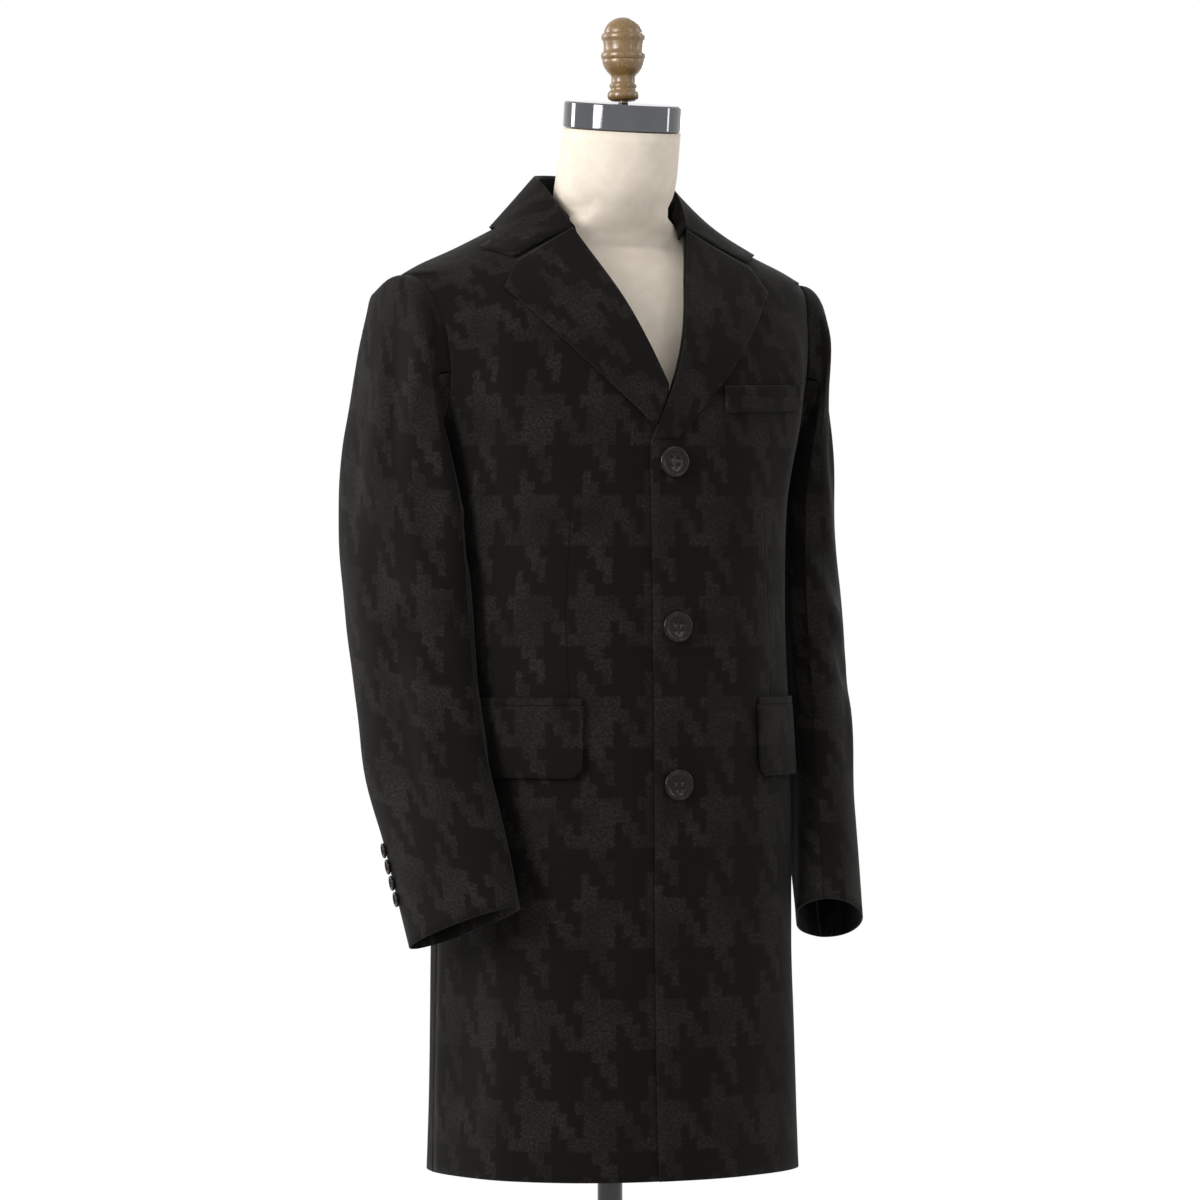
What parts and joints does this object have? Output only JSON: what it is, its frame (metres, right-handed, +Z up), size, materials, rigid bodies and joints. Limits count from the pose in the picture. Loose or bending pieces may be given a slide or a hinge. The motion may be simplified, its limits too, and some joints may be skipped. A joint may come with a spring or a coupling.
{
  "type": "overcoat on a dress form",
  "caption": "Single-breasted wool overcoat with notch lapels, welt and flap pockets, worn hollow on a limbless dress form that stands on a round base.",
  "frame": {"origin": "middle of the underside of the stand's round base, on the floor", "axes": "+Z up; the wearer faces -Y, so +X is the wearer's left"},
  "size_m": [0.522, 0.42, 1.6036],
  "materials": {
    "coating": "napped wool coating, near-black with a charcoal houndstooth",
    "horn": "polished dark horn",
    "linen": "plain undyed linen over a smooth form",
    "chrome": "polished",
    "turned_wood": "stained and waxed, turned",
    "enamel": "satin white"
  },
  "bodies": {
    "root": {"front_left": "coating", "front_right": "coating", "back_left": "coating", "back_right": "coating", "form_torso": "linen", "top_sleeve_left": "coating", "under_sleeve_left": "coating", "top_sleeve_right": "coating", "under_sleeve_right": "coating", "lapel_left": "coating", "lapel_right": "coating", "collar": "coating", "flap_left": "coating", "jet_left": "coating", "flap_right": "coating", "jet_right": "coating", "breast_welt": "coating", "front_button_1": "horn", "front_button_2": "horn", "front_button_3": "horn", "cuff_button_left_1": "horn", "cuff_button_left_2": "horn", "cuff_button_left_3": "horn", "cuff_button_left_4": "horn", "cuff_button_right_1": "horn", "cuff_button_right_2": "horn", "cuff_button_right_3": "horn", "cuff_button_right_4": "horn", "neck_cap": "chrome", "finial": "turned_wood", "pole": "enamel", "stand_base": "enamel"}
  },
  "joints": []
}
